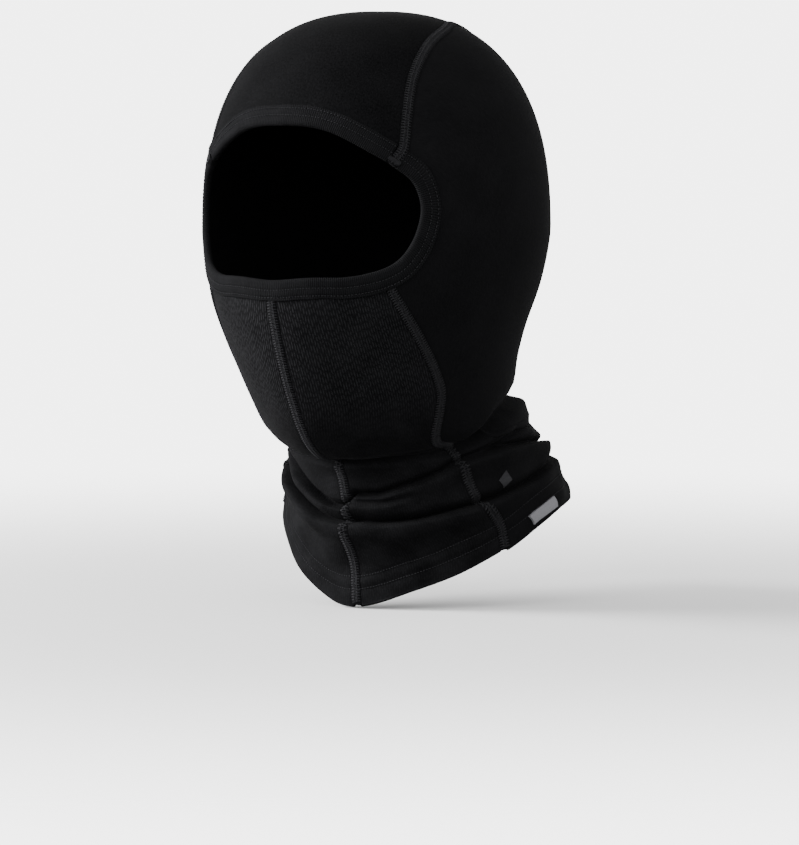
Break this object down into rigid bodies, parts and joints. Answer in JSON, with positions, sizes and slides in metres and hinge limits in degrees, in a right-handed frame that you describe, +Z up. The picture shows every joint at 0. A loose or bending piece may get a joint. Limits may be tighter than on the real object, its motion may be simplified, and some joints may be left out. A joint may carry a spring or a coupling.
{
  "type": "balaclava",
  "caption": "Close-fitting black knitted hood for skiing, shown worn, with a face opening edged in ribbed binding, flatlock seams and a gathered neck that ends in a stitched hem.",
  "frame": {"origin": "centre of the wearer's head, level with the eyes and the ears, inside the hood", "axes": "+Z up, the face opening looks along -Y, +X to the wearer's left; millimetres in the source, metres in the row"},
  "size_m": [0.1618, 0.2303, 0.2958],
  "materials": {
    "crown_knit": "black heather merino jersey with a soft fuzz",
    "side_knit": "smooth black fine jersey with faint vertical wales",
    "front_knit": "black textured pique knit",
    "binding_knit": "black ribbed stretch binding",
    "seam_thread": "dark grey covering threads of a flatlock seam",
    "stitch_thread": "dark grey sewing thread",
    "tab_weave": "plain pale grey woven tape",
    "label_weave": "plain off-white satin ribbon",
    "mark_print": "matt grey heat print"
  },
  "bodies": {
    "root": {"crown_panel": "crown_knit", "side_panel_left": "side_knit", "side_panel_right": "side_knit", "front_panel_left": "front_knit", "front_panel_right": "front_knit", "forehead_binding": "binding_knit", "face_binding": "binding_knit", "crown_seam_left": "seam_thread", "crown_seam_right": "seam_thread", "side_seam_left": "seam_thread", "side_seam_right": "seam_thread", "centre_front_seam": "seam_thread", "forehead_stitch_row_inner": "stitch_thread", "forehead_stitch_row_outer": "stitch_thread", "face_stitch_row_inner": "stitch_thread", "face_stitch_row_outer": "stitch_thread", "hem_stitch_row_lower": "stitch_thread", "hem_stitch_row_upper": "stitch_thread", "crown_bartack_left": "stitch_thread", "crown_bartack_right": "stitch_thread", "side_tab": "tab_weave", "care_label": "label_weave", "printed_mark": "mark_print"}
  },
  "joints": []
}
